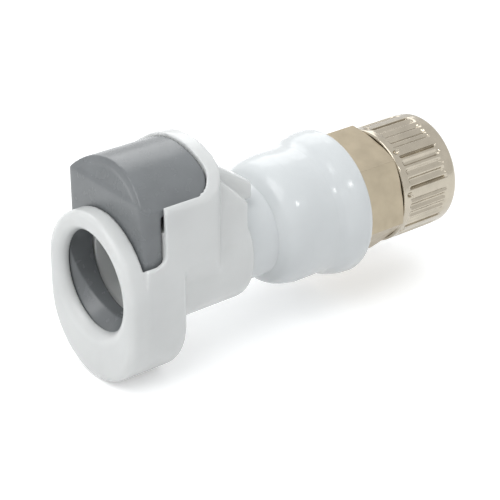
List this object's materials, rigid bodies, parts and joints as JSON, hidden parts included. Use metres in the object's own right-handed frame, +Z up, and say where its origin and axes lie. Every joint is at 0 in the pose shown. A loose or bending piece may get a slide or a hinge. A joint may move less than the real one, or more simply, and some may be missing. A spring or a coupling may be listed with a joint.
{
  "type": "plastic quick disconnect coupling",
  "caption": "In-line quick disconnect coupling body with a thumb latch, an internal spring valve and a compression-nut tube end.",
  "frame": {"origin": "centre of the mouth face, on the flow axis, where the mating insert enters", "axes": "+X along the flow axis from the mouth to the tube end; +Z up, the way the thumb latch faces; +Y across, towards the left seen from the mouth with the latch up"},
  "size_m": [0.0642, 0.023, 0.034],
  "materials": {
    "white_acetal": "satin",
    "bright_acetal": "gloss",
    "grey_acetal": "satin",
    "spring_steel": "satin",
    "seal_rubber": "matte",
    "satin_nickel": "satin",
    "bright_nickel": "polished"
  },
  "bodies": {
    "coupling": {"main_body": "white_acetal", "valve_housing": "bright_acetal", "housing_seal": "seal_rubber", "tube_fitting": "satin_nickel", "fitting_seal": "seal_rubber", "latch_spring": "spring_steel", "valve_spring": "spring_steel"},
    "latch": {"thumb_latch": "grey_acetal"},
    "poppet": {"poppet": "bright_acetal", "poppet_seal": "seal_rubber"},
    "nut": {"compression_nut": "bright_nickel"}
  },
  "joints": [
    {"name": "latch_press", "type": "slide", "parent": "coupling", "child": "latch", "axis": [0, 0, -1], "range_m": [0, 0.002], "stiffness_N_per_m": 1200, "springref_m": -0.001, "deforming": ["latch_spring"]},
    {"name": "poppet_open", "type": "slide", "parent": "coupling", "child": "poppet", "axis": [1, 0, 0], "range_m": [0, 0.0025], "stiffness_N_per_m": 900, "springref_m": -0.002, "deforming": ["valve_spring"]},
    {"name": "nut_turn", "type": "hinge", "parent": "coupling", "child": "nut", "pos_m": [0.058, 0, 0], "axis": [1, 0, 0], "continuous": true}
  ]
}
